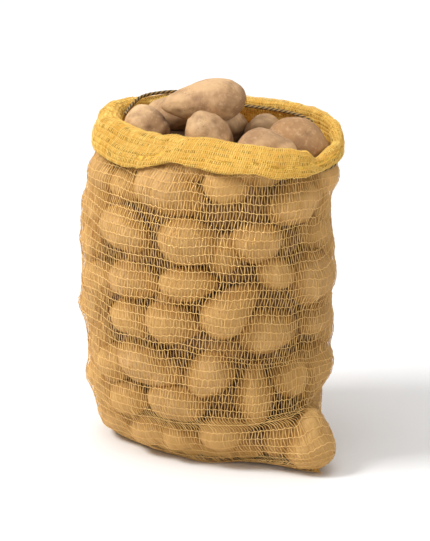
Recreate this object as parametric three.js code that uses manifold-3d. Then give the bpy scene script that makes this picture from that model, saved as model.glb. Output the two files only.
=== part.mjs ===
// A net sack of potatoes: it stands open on its base, with its mouth rolled down into a cuff.
// Millimetres, +Z up. The origin is on the floor under the sack's axis, and +X runs along its width.
// Azimuths are degrees round that axis: 0 faces the front (-Y), 90 the right (+X), 180 the back.
import * as THREE from "three";
import { mergeVertices } from "three/addons/utils/BufferGeometryUtils.js";
import Module from "manifold-3d";

const wasm = await Module();
wasm.setup();

// Driving dimensions.
const NET_THICK = 2; // tapes and knots of the net, as one sheet
const POTATO_GAP = 4; // between a potato and the net that it pushes out
const PIECE_GAP = 0.5; // between two potatoes that lie on each other
const POTATO_FLAT = 0.92; // a potato's third size, as a share of its width
const STRING_RADIUS = 2.2; // the drawstring
const STRING_HOLE = 2.8; // the gap that it takes where it goes through the net

// How finely the sheet is cut.
const COLUMNS = 50; // steps round the sack
const WALL_ROWS = 22; // steps up the wall
const BASE_RINGS = [0.5, 1]; // rings of the flat base, as shares of its outline
const ROW_EASE = 1.12; // rows lie closer together near the floor
const SLACK = 26; // the deepest that the net sags behind the plain form
const FIRST_SLACK = 8; // how far behind the plain form the net starts to settle
const SETTLE_PASSES = 90; // rounds of pulling the net tight over the potatoes

// The plain form that the potatoes fill, section by section. Its top is the outer face of the rolled mouth.
const SECTIONS = [
  { height: 0, halfWidth: 128, halfDepth: 92, shiftX: 6, shiftY: -2 },
  { height: 20, halfWidth: 154, halfDepth: 110, shiftX: 3, shiftY: -2 },
  { height: 60, halfWidth: 166, halfDepth: 122, shiftX: 2, shiftY: -2 },
  { height: 130, halfWidth: 175, halfDepth: 132, shiftX: 1, shiftY: 0 },
  { height: 220, halfWidth: 183, halfDepth: 138, shiftX: 0, shiftY: 0 },
  { height: 330, halfWidth: 178, halfDepth: 134, shiftX: 2, shiftY: 0 },
  { height: 400, halfWidth: 170, halfDepth: 124, shiftX: 10, shiftY: 2 },
  { height: 440, halfWidth: 168, halfDepth: 109, shiftX: 20, shiftY: 7 },
  { height: 480, halfWidth: 168, halfDepth: 109, shiftX: 20, shiftY: 7 },
];

// Where the net meets the floor, round the axis. The long reach is the sewn tip of a corner.
const BASE_OUTLINE = table(
  ["azimuth", "reach"],
  [
    [-175, 92],
    [-140, 104],
    [-110, 124],
    [-72, 128],
    [-54, 102],
    [-32, 86],
    [-6, 84],
    [28, 97],
    [44, 98],
    [58, 110],
    [65, 150],
    [72, 196],
    [79, 166],
    [86, 136],
    [112, 124],
    [145, 102],
  ],
);

// The rolled mouth round the rim: how high it stands, how far it hangs down outside, and how fat it is.
const CUFF = table(
  ["azimuth", "crest", "drop", "fat"],
  [
    [-175, 461, 46, 15],
    [-130, 461, 44, 18],
    [-112, 459, 45, 25],
    [-98, 460, 46, 31],
    [-88, 460, 46, 34],
    [-62, 455, 45, 34],
    [-42, 449, 45, 26],
    [-28, 450, 42, 20],
    [-6, 454, 32, 17],
    [12, 457, 39, 16],
    [44, 450, 36, 16],
    [62, 446, 38, 17],
    [70, 439, 34, 18],
    [80, 425, 17, 18],
    [92, 438, 22, 15],
    [108, 457, 40, 15],
    [130, 462, 46, 15],
  ],
);
const CUFF_TURN = 2.5; // radius of the fold at the cuff's lower edge
const CUFF_RETURN = 0.7; // how far the inner layer comes back up, as a share of the drop
const CUFF_ROOM = 5; // between the wall and the layer that comes back up
const CUFF_BELLY = 3; // how far the hanging layer bulges
const CREST_STEPS = 4; // over the top
const HANG_STEPS = 2; // down the outside

// Potatoes behind the net that show from the front. out is how far each stands out of the plain form.
const FRONT_POTATOES = table(
  ["azimuth", "height", "length", "width", "tilt", "out"],
  [
    [-66, 378, 84, 60, 0, 0],
    [-38, 370, 74, 54, 0, -4],
    [-6, 380, 106, 76, -10, 2],
    [33, 391, 64, 56, 10, -1],
    [76, 366, 98, 62, 0, 0],
    [94, 393, 62, 52, 0, 5],
    [-70, 330, 86, 56, -4, -3],
    [-36, 318, 104, 62, -6, 1],
    [15, 315, 98, 70, -4, 2],
    [53, 318, 72, 56, 10, 1],
    [92, 316, 70, 52, 12, -6],
    [-64, 284, 70, 50, 0, -1],
    [-82, 262, 80, 56, 0, -2],
    [-25, 251, 86, 62, -4, 1],
    [13, 259, 82, 52, 0, 1],
    [62, 277, 58, 48, -10, 3],
    [86, 262, 92, 80, 20, 8],
    [-54, 236, 80, 60, 6, 1],
    [-27, 200, 68, 56, 0, 0],
    [3, 201, 82, 64, -8, 1],
    [39, 229, 96, 64, 42, 4],
    [60, 196, 86, 70, 20, 1],
    [90, 202, 72, 54, 0, -2],
    [-72, 188, 94, 72, 6, -1],
    [-17, 137, 108, 60, -10, 1],
    [27, 135, 76, 66, 75, 2],
    [74, 128, 66, 60, 60, -1],
    [94, 138, 82, 66, 30, 6],
    [-48, 124, 80, 62, 40, 0],
    [-38, 76, 80, 56, 0, 0],
    [4, 91, 88, 60, 0, 1],
    [53, 106, 94, 54, 84, 3],
    [-72, 90, 88, 64, 20, 1],
    [-22, 37, 66, 48, 0, -3],
    [6, 37, 62, 46, 0, -2],
    [39, 50, 84, 60, 10, 0],
    [60, 32, 62, 46, 0, -6],
    [-66, 38, 92, 60, 0, -2],
    [90, 110, 70, 54, 0, -5],
    [71, 44, 76, 58, 0, 20],
    [73, 46, 76, 66, 82, 56],
  ],
);

// Creases where the net is drawn in: how far each spreads round and up, and how deep it is.
const CREASES = table(
  ["azimuth", "height", "turn", "rise", "depth"],
  [
    [84, 84, 18, 24, 7],
    [70, 150, 40, 12, 3],
  ],
);

// The hidden back is filled course by course with potatoes of a middling size. Places and sizes wander by
// up to BACK_WANDER, in two waves that never fall in step with the courses.
const BACK = { from: 112, to: 268, courses: 6, perCourse: 5, lowest: 46, rise: 66 };
const BACK_POTATO = { length: 108, width: 72 };
const BACK_WANDER = { azimuth: 4, height: 9, length: 12, width: 8, tilt: 24, out: 2 };
const BACK_WAVES = [
  { perCourse: 7.3, perPotato: 4.1, start: 0 },
  { perCourse: 3.7, perPotato: 5.9, start: 1 },
];

// Potatoes of the heap's top layer that the upper ones lie on.
const UNDER_TOP = table(
  ["x", "y", "z", "length", "width", "yaw"],
  [
    [-70, 20, 398, 100, 70, 30],
    [0, -50, 388, 104, 76, 10],
    [10, 45, 400, 100, 74, -20],
    [80, -30, 390, 100, 72, 60],
    [90, 40, 392, 96, 70, -30],
    [-60, -45, 384, 96, 70, -40],
  ],
);

// Profile of the unseen heart of the heap, along its width.
const HEART = table(
  ["reach", "height"],
  [
    [0, 20],
    [104, 26],
    [144, 100],
    [156, 220],
    [148, 330],
    [122, 388],
    [0, 400],
  ],
);
const HEART_FLAT = 0.754; // its depth as a share of its width
const HEART_SIDES = 16;

// Bare potatoes in the mouth, from the lowest up. taper makes one end fatter than the other.
const TOP_POTATOES = table(
  ["name", "x", "y", "z", "length", "width", "yaw", "pitch", "taper", "detail"],
  [
    ["potato_left", -74, -27, 444, 67, 58, -12, 0, -0.08, 2],
    ["potato_front", 31, -54, 440, 86, 70, 205, 58, 0, 2],
    ["potato_right", 132, 13, 434, 88, 66, 24, -26, -0.08, 2],
    ["potato_front_right", 109, -47, 435, 82, 62, 12, 0, -0.03, 2],
    ["potato_middle", 10, 26, 437, 80, 60, 62, 0, -0.1, 1],
    ["potato_back_right", 62, 50, 431, 54, 52, 20, 0, 0, 1],
    ["potato_back_left", -64, 38, 440, 78, 56, 20, 0, -0.12, 1],
    ["potato_top", 1, -12, 480, 116, 64, 192, -8, -0.18, 2],
  ],
);

// Where the drawstring lies: out is measured from the middle of the wall's sheet.
const DRAWSTRING = table(
  ["azimuth", "height", "out"],
  [
    [78, 404, 3.9],
    [84, 407, 3.9],
    [90, 411, 3.9],
    [96, 415, 3.9],
    [102, 420, 3.9],
    [108, 426, 3.9],
    [114, 432, 3.9],
    [120, 438, 2.6],
    [125, 443, 0.4],
    [130, 447, -2.6],
    [137, 450, -3.8],
    [148, 450, -3.8],
    [160, 450, -3.8],
    [172, 450, -3.8],
    [184, 450, -3.8],
    [198, 452, -3.8],
    [212, 456, -3.8],
    [222, 459, -2.6],
    [230, 464, 2],
    [238, 464.5, 8],
    [246, 463.5, 10],
    [252, 463, 8],
    [258, 461.5, 3],
    [264, 457.5, -2],
    [270, 453, -3.8],
    [278, 448, -3.8],
  ],
);
const STRING_STEPS = 40;
const STRING_ARC_STEPS = 4; // to a half turn

const INSIDE_DETAIL = 1; // of the potatoes behind the net
const WELD = 1e-3; // points closer than this are one

const NET_FINISH = { color: 0xf2bd55, roughness: 0.55, metalness: 0 };
const SKIN_FINISH = { color: 0xc79a6b, roughness: 0.75, metalness: 0 };
const STRING_FINISH = { color: 0x2f3330, roughness: 0.7, metalness: 0 };

// Turns rows of values into objects with named columns.
function table(columns, rows) {
  return rows.map((row) => Object.fromEntries(columns.map((name, i) => [name, row[i]])));
}

const radians = THREE.MathUtils.degToRad;

// A value between 0 and 1 eased at both ends.
const ease = (t) => t * t * (3 - 2 * t);

// The plain section at a height, between the rows of SECTIONS.
function sectionAt(height) {
  const z = THREE.MathUtils.clamp(height, SECTIONS[0].height, SECTIONS.at(-1).height);
  const upper = Math.max(1, SECTIONS.findIndex((row) => row.height >= z));
  const [low, high] = [SECTIONS[upper - 1], SECTIONS[upper]];
  const t = (z - low.height) / (high.height - low.height);
  const between = (key) => THREE.MathUtils.lerp(low[key], high[key], t);
  return {
    halfWidth: between("halfWidth"),
    halfDepth: between("halfDepth"),
    centre: new THREE.Vector3(between("shiftX"), between("shiftY"), height),
  };
}

// The direction from the axis outwards at an azimuth.
const outwards = (azimuth) => new THREE.Vector3(Math.sin(azimuth), -Math.cos(azimuth), 0);

// Distance from the axis to the plain form.
function plainRadius(section, azimuth) {
  return 1 / Math.hypot(Math.sin(azimuth) / section.halfWidth, Math.cos(azimuth) / section.halfDepth);
}

// A size at an azimuth, eased between the rows of a table that goes once round.
function around(rows, azimuth, key) {
  const first = rows[0].azimuth;
  const turned = THREE.MathUtils.euclideanModulo(THREE.MathUtils.radToDeg(azimuth) - first, 360);
  const last = rows.findLastIndex((row) => row.azimuth - first <= turned);
  const low = rows[last];
  const high = rows[(last + 1) % rows.length];
  const span = THREE.MathUtils.euclideanModulo(high.azimuth - low.azimuth, 360);
  const share = (turned - (low.azimuth - first)) / span;
  return THREE.MathUtils.lerp(low[key], high[key], ease(share));
}

// A potato's place: a matrix that takes the unit ball to it.
function potatoPlace(centre, along, across, outward, length, width) {
  return new THREE.Matrix4()
    .makeBasis(along, across, outward)
    .scale(new THREE.Vector3(length / 2, width / 2, (width * POTATO_FLAT) / 2))
    .setPosition(centre);
}

// The place of a potato that presses on the net at an azimuth and a height.
function wallPotato({ azimuth, height, length, width, tilt, out }) {
  const turn = radians(azimuth);
  const section = sectionAt(height);
  const outward = new THREE.Vector3(
    Math.sin(turn) / section.halfWidth,
    -Math.cos(turn) / section.halfDepth,
    0,
  ).normalize();
  const side = new THREE.Vector3(-outward.y, outward.x, 0);
  const up = new THREE.Vector3(0, 0, 1);
  const lean = radians(tilt);
  const along = side.clone().multiplyScalar(Math.cos(lean)).addScaledVector(up, Math.sin(lean));
  const across = side.clone().multiplyScalar(-Math.sin(lean)).addScaledVector(up, Math.cos(lean));
  const centre = section.centre
    .clone()
    .addScaledVector(outwards(turn), plainRadius(section, turn))
    .addScaledVector(outward, out - (width * POTATO_FLAT) / 2);
  return potatoPlace(centre, along, across, outward, length, width);
}

// The place of a potato in the open mouth.
function freePotato({ x, y, z, length, width, yaw, pitch = 0 }) {
  const turn = new THREE.Euler(0, -radians(pitch), radians(yaw), "ZYX");
  const along = new THREE.Vector3(1, 0, 0).applyEuler(turn);
  const across = new THREE.Vector3(0, 0, 1).cross(along).normalize();
  const outward = along.clone().cross(across);
  return potatoPlace(new THREE.Vector3(x, y, z), along, across, outward, length, width);
}

// Rows for the back: each course is set half a step along from the one below, and sizes wander.
function backPotatoes() {
  const rows = [];
  for (let course = 0; course < BACK.courses; course++) {
    const step = (BACK.to - BACK.from) / BACK.perCourse;
    for (let i = 0; i < BACK.perCourse; i++) {
      const [wander, sway] = BACK_WAVES.map(({ perCourse, perPotato, start }) =>
        Math.sin(perCourse * course + perPotato * i + start),
      );
      const along = i + 1 / 4 + (course % 2) / 2;
      rows.push({
        azimuth: BACK.from + step * along + BACK_WANDER.azimuth * sway,
        height: BACK.lowest + BACK.rise * course + BACK_WANDER.height * wander,
        length: BACK_POTATO.length + BACK_WANDER.length * sway,
        width: BACK_POTATO.width + BACK_WANDER.width * wander,
        tilt: BACK_WANDER.tilt * sway,
        out: BACK_WANDER.out * wander,
      });
    }
  }
  return rows;
}

// How far a level line from the axis runs before it leaves a potato, or 0 where it misses.
function exitDistance(place, start, direction) {
  const inverse = place.clone().invert();
  const from = start.clone().applyMatrix4(inverse);
  const step = direction.clone().transformDirection(inverse);
  const length = start.clone().add(direction).applyMatrix4(inverse).sub(from).length();
  const along = from.dot(step);
  const root = along * along - from.lengthSq() + 1;
  return root > 0 ? (Math.sqrt(root) - along) / length : 0;
}

// The net pulled tight over the potatoes: its outer radius for each row and column of the wall.
function settleNet(places) {
  const turn = (2 * Math.PI) / COLUMNS;
  const grown = places.map((place) => growPlace(place, POTATO_GAP + NET_THICK));
  const held = [];
  let radius = [];
  for (let row = 0; row <= WALL_ROWS; row++) {
    held.push([]);
    radius.push([]);
    for (let column = 0; column < COLUMNS; column++) {
      const azimuth = column * turn;
      const height = heightOf(row, column);
      const section = sectionAt(height);
      const plain = plainRadius(section, azimuth);
      const pushed = grown.map((place) => exitDistance(place, section.centre, outwards(azimuth)));
      let least = plain - SLACK;
      if (row === 0) least = around(BASE_OUTLINE, azimuth, "reach");
      if (row === WALL_ROWS) least = plain - around(CUFF, azimuth, "fat");
      held[row].push(Math.max(...pushed, least));
      radius[row].push(row === 0 ? held[row][column] : Math.max(held[row][column], plain - FIRST_SLACK));
    }
  }
  for (let pass = 0; pass < SETTLE_PASSES; pass++) {
    radius = radius.map((line, row) => {
      if (row === 0) return line;
      return line.map((r, column) => {
        const left = line[(column + COLUMNS - 1) % COLUMNS];
        const right = line[(column + 1) % COLUMNS];
        const beside = (left + right - turn * turn * r) / 2;
        // The rim is an elastic band, which no row above pulls on.
        const upright = row === WALL_ROWS ? beside : (radius[row - 1][column] + radius[row + 1][column]) / 2;
        return Math.max(held[row][column], (beside + upright) / 2);
      });
    });
  }
  return radius.map((line, row) =>
    line.map((r, column) => {
      if (row === 0 || row === WALL_ROWS) return r;
      return Math.max(held[row][column], r - creaseDepth(column * turn, heightOf(row, column)));
    }),
  );
}

// How far the creases draw the net in at a place.
function creaseDepth(azimuth, height) {
  return CREASES.reduce((depth, crease) => {
    const off = THREE.MathUtils.radToDeg(azimuth) - crease.azimuth;
    const turned = (THREE.MathUtils.euclideanModulo(off + 180, 360) - 180) / crease.turn;
    const raised = (height - crease.height) / crease.rise;
    return depth + crease.depth * Math.exp(-turned * turned - raised * raised);
  }, 0);
}

// The height of a row of the wall: the last row is where the crest's bend starts.
function heightOf(row, column) {
  const azimuth = (column * 2 * Math.PI) / COLUMNS;
  const top = around(CUFF, azimuth, "crest") - around(CUFF, azimuth, "fat") / 2;
  return top * (row / WALL_ROWS) ** ROW_EASE;
}

// The net's outer radius at any height of a column.
function reachAt(radius, column, height) {
  const share = Math.min(1, height / heightOf(WALL_ROWS, column));
  const row = WALL_ROWS * share ** (1 / ROW_EASE);
  const low = Math.min(Math.floor(row), WALL_ROWS - 1);
  return THREE.MathUtils.lerp(radius[low][column], radius[low + 1][column], row - low);
}

// A potato's place, larger all round by a margin.
function growPlace(place, margin) {
  const position = new THREE.Vector3();
  const rotation = new THREE.Quaternion();
  const scale = new THREE.Vector3();
  place.decompose(position, rotation, scale);
  return new THREE.Matrix4().compose(position, rotation, scale.addScalar(margin));
}

// The sheet's middle line at one column: points from the base's first ring to the end of the cuff.
function clothLine(radius, column) {
  const azimuth = (column * 2 * Math.PI) / COLUMNS;
  const half = NET_THICK / 2;
  const at = (height, reach) => sectionAt(height).centre.addScaledVector(outwards(azimuth), reach);
  const line = BASE_RINGS.map((share) => at(0, radius[0][column] * share).setZ(half));
  for (let row = 1; row <= WALL_ROWS; row++) {
    line.push(at(heightOf(row, column), radius[row][column] - half));
  }
  const [crest, drop, fat] = ["crest", "drop", "fat"].map((key) => around(CUFF, azimuth, key));
  const wall = radius[WALL_ROWS][column] - half;
  const roll = fat / 2;
  const bend = crest - roll;
  const hem = crest - drop + CUFF_TURN;
  const clear = reachAt(radius, column, hem) + half + CUFF_ROOM + 2 * CUFF_TURN;
  const hang = Math.max(wall + fat, clear);
  for (let step = 1; step <= CREST_STEPS; step++) {
    const angle = (Math.PI * step) / CREST_STEPS;
    line.push(at(bend + roll * Math.sin(angle), wall + roll - roll * Math.cos(angle)));
  }
  for (let step = 1; step <= HANG_STEPS; step++) {
    const share = step / HANG_STEPS;
    const belly = CUFF_BELLY * Math.sin(Math.PI * share);
    const reach = THREE.MathUtils.lerp(wall + fat, hang, share) + belly;
    line.push(at(THREE.MathUtils.lerp(bend, hem, share), reach));
  }
  line.push(at(hem - CUFF_TURN, hang - CUFF_TURN));
  line.push(at(hem, hang - 2 * CUFF_TURN));
  const inner = THREE.MathUtils.lerp(hang, wall + fat, CUFF_RETURN) - 2 * CUFF_TURN;
  line.push(at(THREE.MathUtils.lerp(hem, bend, CUFF_RETURN), inner));
  return line;
}

// A closed sheet of even thickness on lines of points that run from a pole to an open end.
function sheetGeometry(lines, pole, flatRows) {
  const columns = lines.length;
  const rows = lines[0].length;
  const half = NET_THICK / 2;
  const points = [];
  const facing = (column, row) => {
    if (row < flatRows) return new THREE.Vector3(0, 0, -1);
    const [left, right] = [columns - 1, 1].map((step) => lines[(column + step) % columns][row]);
    const sideways = right.clone().sub(left);
    const along = lines[column][Math.min(row + 1, rows - 1)].clone().sub(lines[column][row - 1]);
    return sideways.cross(along).normalize();
  };
  const sides = [half, -half].map((offset) => {
    const first = points.length;
    points.push(pole.clone().addScaledVector(new THREE.Vector3(0, 0, -1), offset));
    lines.forEach((line, column) =>
      line.forEach((point, row) => points.push(point.clone().addScaledVector(facing(column, row), offset))),
    );
    return { pole: first, at: (column, row) => first + 1 + (column % columns) * rows + row };
  });
  const index = [];
  const [outer, inner] = sides;
  for (let column = 0; column < columns; column++) {
    const next = column + 1;
    index.push(outer.pole, outer.at(next, 0), outer.at(column, 0));
    index.push(inner.pole, inner.at(column, 0), inner.at(next, 0));
    for (let row = 0; row + 1 < rows; row++) {
      const corners = [[column, row], [next, row], [next, row + 1], [column, row + 1]];
      const [a, b, c, d] = corners.map((corner) => outer.at(...corner));
      index.push(a, b, c, a, c, d);
      const [e, f, g, h] = corners.map((corner) => inner.at(...corner));
      index.push(e, g, f, e, h, g);
    }
    const end = rows - 1;
    index.push(outer.at(column, end), outer.at(next, end), inner.at(next, end));
    index.push(outer.at(column, end), inner.at(next, end), inner.at(column, end));
  }
  return new THREE.BufferGeometry().setFromPoints(points).setIndex(index);
}

// A potato as a closed geometry: a ball that may be fatter at one end, taken to its place.
function potatoGeometry(place, detail, taper = 0) {
  const ball = new THREE.IcosahedronGeometry(1, detail);
  const position = ball.getAttribute("position");
  for (let i = 0; i < position.count; i++) {
    const swell = 1 + taper * position.getX(i);
    position.setXYZ(i, position.getX(i), position.getY(i) * swell, position.getZ(i) * swell);
  }
  return ball.applyMatrix4(place);
}

// A geometry as a solid for joining and cutting.
function solidOf(geometry) {
  const bare = new THREE.BufferGeometry().setAttribute("position", geometry.getAttribute("position"));
  if (geometry.index) bare.setIndex(geometry.index);
  const merged = mergeVertices(bare, WELD);
  return new wasm.Manifold(
    new wasm.Mesh({
      numProp: 3,
      vertProperties: new Float32Array(merged.getAttribute("position").array),
      triVerts: new Uint32Array(merged.index.array),
    }),
  );
}

// A solid as a geometry again.
function geometryOf(solid) {
  const { vertProperties, triVerts } = solid.getMesh();
  return new THREE.BufferGeometry()
    .setAttribute("position", new THREE.BufferAttribute(vertProperties, 3))
    .setIndex(new THREE.BufferAttribute(triVerts, 1));
}

// The unseen heart of the heap, which every potato behind the net presses into.
function heartGeometry() {
  const profile = HEART.map(({ reach, height }) => new THREE.Vector2(reach, height));
  return new THREE.LatheGeometry(profile, HEART_SIDES).rotateX(Math.PI / 2).scale(1, HEART_FLAT, 1);
}

// A round tube along points, open at neither end.
function tubeGeometry(points, radius) {
  const section = new THREE.Shape().absarc(0, 0, radius, 0, 2 * Math.PI);
  return new THREE.ExtrudeGeometry(section, {
    steps: STRING_STEPS,
    curveSegments: STRING_ARC_STEPS,
    extrudePath: new THREE.CatmullRomCurve3(points),
    bevelEnabled: false,
  });
}

// Adds a named mesh to the part.
function addMesh(name, geometry, finish) {
  const mesh = new THREE.Mesh(geometry, new THREE.MeshStandardMaterial(finish));
  mesh.name = name;
  part.add(mesh);
}

const part = new THREE.Group();

// Places of everything that fills the sack.
const wallPlaces = [...FRONT_POTATOES, ...backPotatoes()].map(wallPotato);
const underPlaces = UNDER_TOP.map(freePotato);
const topPlaces = TOP_POTATOES.map(freePotato);

// The net sack.
const radius = settleNet([...wallPlaces, ...underPlaces, ...topPlaces]);
const lines = Array.from({ length: COLUMNS }, (_, column) => clothLine(radius, column));
const pole = new THREE.Vector3(SECTIONS[0].shiftX, SECTIONS[0].shiftY, NET_THICK / 2);
const sack = solidOf(sheetGeometry(lines, pole, BASE_RINGS.length));

// The drawstring, threaded through the net at the right.
const stringPoints = DRAWSTRING.map(({ azimuth, height, out }) => {
  const column = (azimuth / 360) * COLUMNS;
  const low = Math.floor(column);
  const [left, right] = [low, low + 1].map((at) => reachAt(radius, at % COLUMNS, height));
  const wall = THREE.MathUtils.lerp(left, right, column - low) - NET_THICK / 2;
  return sectionAt(height).centre.addScaledVector(outwards(radians(azimuth)), wall + out);
});
const stringHole = solidOf(tubeGeometry(stringPoints, STRING_HOLE));
addMesh("sack", geometryOf(sack.subtract(stringHole)), NET_FINISH);
addMesh("drawstring", tubeGeometry(stringPoints, STRING_RADIUS), STRING_FINISH);

// The potatoes behind the net, joined where they press on each other.
const insidePlaces = [...wallPlaces, ...underPlaces];
const joined = insidePlaces.reduce(
  (sum, place) => sum.add(solidOf(potatoGeometry(place, INSIDE_DETAIL))),
  solidOf(heartGeometry()),
);
const [heap] = joined.decompose().sort((a, b) => b.volume() - a.volume());
addMesh("potatoes_inside", geometryOf(heap), SKIN_FINISH);

// The bare potatoes in the mouth: each is dented where it lies on those placed before it.
let below = insidePlaces.reduce(
  (sum, place) => sum.add(solidOf(potatoGeometry(growPlace(place, PIECE_GAP), INSIDE_DETAIL))),
  solidOf(heartGeometry()),
);
TOP_POTATOES.forEach(({ name, taper, detail }, i) => {
  const potato = solidOf(potatoGeometry(topPlaces[i], detail, taper)).subtract(below);
  addMesh(name, geometryOf(potato), SKIN_FINISH);
  below = below.add(solidOf(potatoGeometry(growPlace(topPlaces[i], PIECE_GAP), detail, taper)));
});

export default part;
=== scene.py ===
# %% [markdown]
# # A net sack of potatoes
#
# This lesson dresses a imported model: a yellow net sack that stands open and full of potatoes, with its mouth
# rolled down into a cuff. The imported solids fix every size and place, and the pieces made here stand for them.
# Lengths in the tables are millimetres, and Blender works in metres.

# %% Load the frame
import math

import bmesh
import bpy
import numpy as np
from mathutils import Matrix, Vector
from mathutils.bvhtree import BVHTree


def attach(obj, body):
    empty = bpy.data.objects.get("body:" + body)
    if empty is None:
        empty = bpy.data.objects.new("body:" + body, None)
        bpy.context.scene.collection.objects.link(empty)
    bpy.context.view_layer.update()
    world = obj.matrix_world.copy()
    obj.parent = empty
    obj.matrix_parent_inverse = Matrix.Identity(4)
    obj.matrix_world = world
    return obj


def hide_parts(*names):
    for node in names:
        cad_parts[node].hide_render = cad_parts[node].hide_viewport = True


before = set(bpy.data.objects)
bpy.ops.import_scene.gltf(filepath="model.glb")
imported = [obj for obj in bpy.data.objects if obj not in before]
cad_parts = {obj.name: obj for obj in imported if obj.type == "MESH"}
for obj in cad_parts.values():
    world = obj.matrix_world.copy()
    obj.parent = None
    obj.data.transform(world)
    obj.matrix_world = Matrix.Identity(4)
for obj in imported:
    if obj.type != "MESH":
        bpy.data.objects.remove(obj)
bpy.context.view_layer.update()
bpy.ops.object.select_all(action="DESELECT")
print("nodes:", sorted(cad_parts))

# %% [markdown]
# ## Camera
#
# A product photograph is taken from a few metres away with a long lens, so that near and far edges keep their
# proportions. The camera is placed by the direction it looks along, and then moved by a few millimetres to frame
# the sack as in the photograph.

# %% Place the camera
VIEW_TURN, VIEW_RISE = math.radians(25), math.radians(18)
VIEW_AWAY = 3.6
AIM = Vector((0, 0, 0.23))
NUDGE_RIGHT, NUDGE_UP = 0.0122, 0.0102
SENSOR_HEIGHT, FOCAL_LENGTH = 36, 176.1

level = math.cos(VIEW_RISE)
back = Vector((math.sin(VIEW_TURN) * level, -math.cos(VIEW_TURN) * level, math.sin(VIEW_RISE)))
right = Vector((math.cos(VIEW_TURN), math.sin(VIEW_TURN), 0))
up = back.cross(right)
lens = bpy.data.cameras.new("camera")
lens.sensor_fit, lens.sensor_height, lens.lens = "VERTICAL", SENSOR_HEIGHT, FOCAL_LENGTH
camera = bpy.data.objects.new("camera", lens)
eye = AIM + VIEW_AWAY * back + NUDGE_RIGHT * right + NUDGE_UP * up
camera.matrix_world = Matrix.Translation(eye) @ Matrix((right, up, back)).transposed().to_4x4()
bpy.context.scene.collection.objects.link(camera)
bpy.context.scene.camera = camera
print("camera at", [round(x, 3) for x in eye])

# %% [markdown]
# ## Shader maths
#
# A finish is a graph of nodes. Writing each sum as a node by hand is slow, so a small class wraps an output
# socket: `1 - mask * 0.5` then adds the Math nodes by itself. Any other node comes from `node`.


# %% Wrap sockets
class Wire:
    """An output socket of a node tree. Arithmetic on it adds Math nodes."""

    def __init__(self, tree, socket=None):
        self.tree, self.socket = tree, socket

    def node(self, kind, settings=None, inputs=None, out=0):
        """Adds a node with its settings, then the values or links of its sockets."""
        made = self.tree.nodes.new(kind)
        for name, value in (settings or {}).items():
            setattr(made, name, value)
        for name, value in (inputs or {}).items():
            if isinstance(value, Wire):
                self.tree.links.new(value.socket, made.inputs[name])
            else:
                made.inputs[name].default_value = (*value, 1) if isinstance(value, tuple) else value
        return Wire(self.tree, made.outputs[out])

    def math(self, operation, *values):
        return self.node("ShaderNodeMath", {"operation": operation}, dict(enumerate(values)))

    def __add__(self, other):
        return self.math("ADD", self, other)

    def __sub__(self, other):
        return self.math("SUBTRACT", self, other)

    def __mul__(self, other):
        return self.math("MULTIPLY", self, other)

    def __rsub__(self, other):
        return self.math("SUBTRACT", other, self)

    __radd__ = __add__
    __rmul__ = __mul__

    def over(self, low, high):
        """0 below low, 1 above high, eased between."""
        spread = {"interpolation_type": "SMOOTHSTEP"}
        return self.node("ShaderNodeMapRange", spread, {"Value": self, "From Min": low, "From Max": high})

    def blend(self, first, second):
        """A colour between two, or beyond them below 0 and above 1."""
        settings = {"data_type": "RGBA", "clamp_factor": False}
        return self.node("ShaderNodeMix", settings, {0: self, 6: first, 7: second}, out=2)

    def noise(self, scale, detail=2.0, roughness=0.5):
        """Clouds on these coordinates, from 0 to 1."""
        values = {"Vector": self, "Scale": scale, "Detail": detail, "Roughness": roughness}
        return self.node("ShaderNodeTexNoise", None, values)

    def bump(self, strength, distance):
        """A normal that follows this height."""
        values = {"Strength": strength, "Distance": distance, "Height": self}
        return self.node("ShaderNodeBump", None, values)


def finish_of(name, **constants):
    """A new material, its shader, a start for wires, and the object's coordinates."""
    material = bpy.data.materials.new(name)
    material.use_nodes = True
    shader = material.node_tree.nodes["Principled BSDF"]
    for key, value in constants.items():
        shader.inputs[key.replace("_", " ")].default_value = value
    start = Wire(material.node_tree)
    return material, shader, start, start.node("ShaderNodeTexCoord", out=3)


def feed(shader, **wires):
    """Links wires to the shader's sockets."""
    for key, wire in wires.items():
        wire.tree.links.new(wire.socket, shader.inputs[key.replace("_", " ")])


def attribute(start, name):
    """A value that each point of the piece carries."""
    return start.node("ShaderNodeAttribute", {"attribute_name": name}, out=2)


print("shader maths ready")

# %% [markdown]
# ## Floor and light
#
# The studio is a pale floor under soft light: a large lamp high on the left, as in the photograph, one above, a
# weak one on the right and a bright sky. A small lamp with a grid brightens only the rim at the right, and one
# behind the sack keeps the floor there pale.

# %% Build the studio
FLOOR_RADIUS, FLOOR_DROP = 30.0, 0.0004
SKY = 0.38

bpy.ops.mesh.primitive_circle_add(vertices=96, radius=FLOOR_RADIUS, fill_type="NGON", location=(0, 0, -FLOOR_DROP))
floor = bpy.context.object
floor.name = "floor"
pale, pale_shader, start, spot = finish_of("pale_floor", Roughness=0.9, Specular_IOR_Level=0.1)
feed(pale_shader, Base_Color=spot.noise(3.0).blend((0.90, 0.90, 0.90), (0.93, 0.93, 0.93)))
floor.data.materials.append(pale)

world = bpy.data.worlds.new("studio")
world.use_nodes = True
sky = world.node_tree.nodes["Background"].inputs
sky["Color"].default_value, sky["Strength"].default_value = (1, 1, 1, 1), SKY
bpy.context.scene.world = world
bpy.context.scene.view_settings.view_transform = "Standard"


def lamp(name, place, size, power, aim=AIM, spread=180):
    """A square soft box that faces a point, with a grid that limits its spread in degrees."""
    light = bpy.data.lights.new(name, "AREA")
    light.size, light.energy, light.spread = size, power, math.radians(spread)
    box = bpy.data.objects.new(name, light)
    box.location = place
    box.rotation_euler = (Vector(aim) - Vector(place)).to_track_quat("-Z", "Y").to_euler()
    box.visible_camera = False
    bpy.context.scene.collection.objects.link(box)


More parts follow.
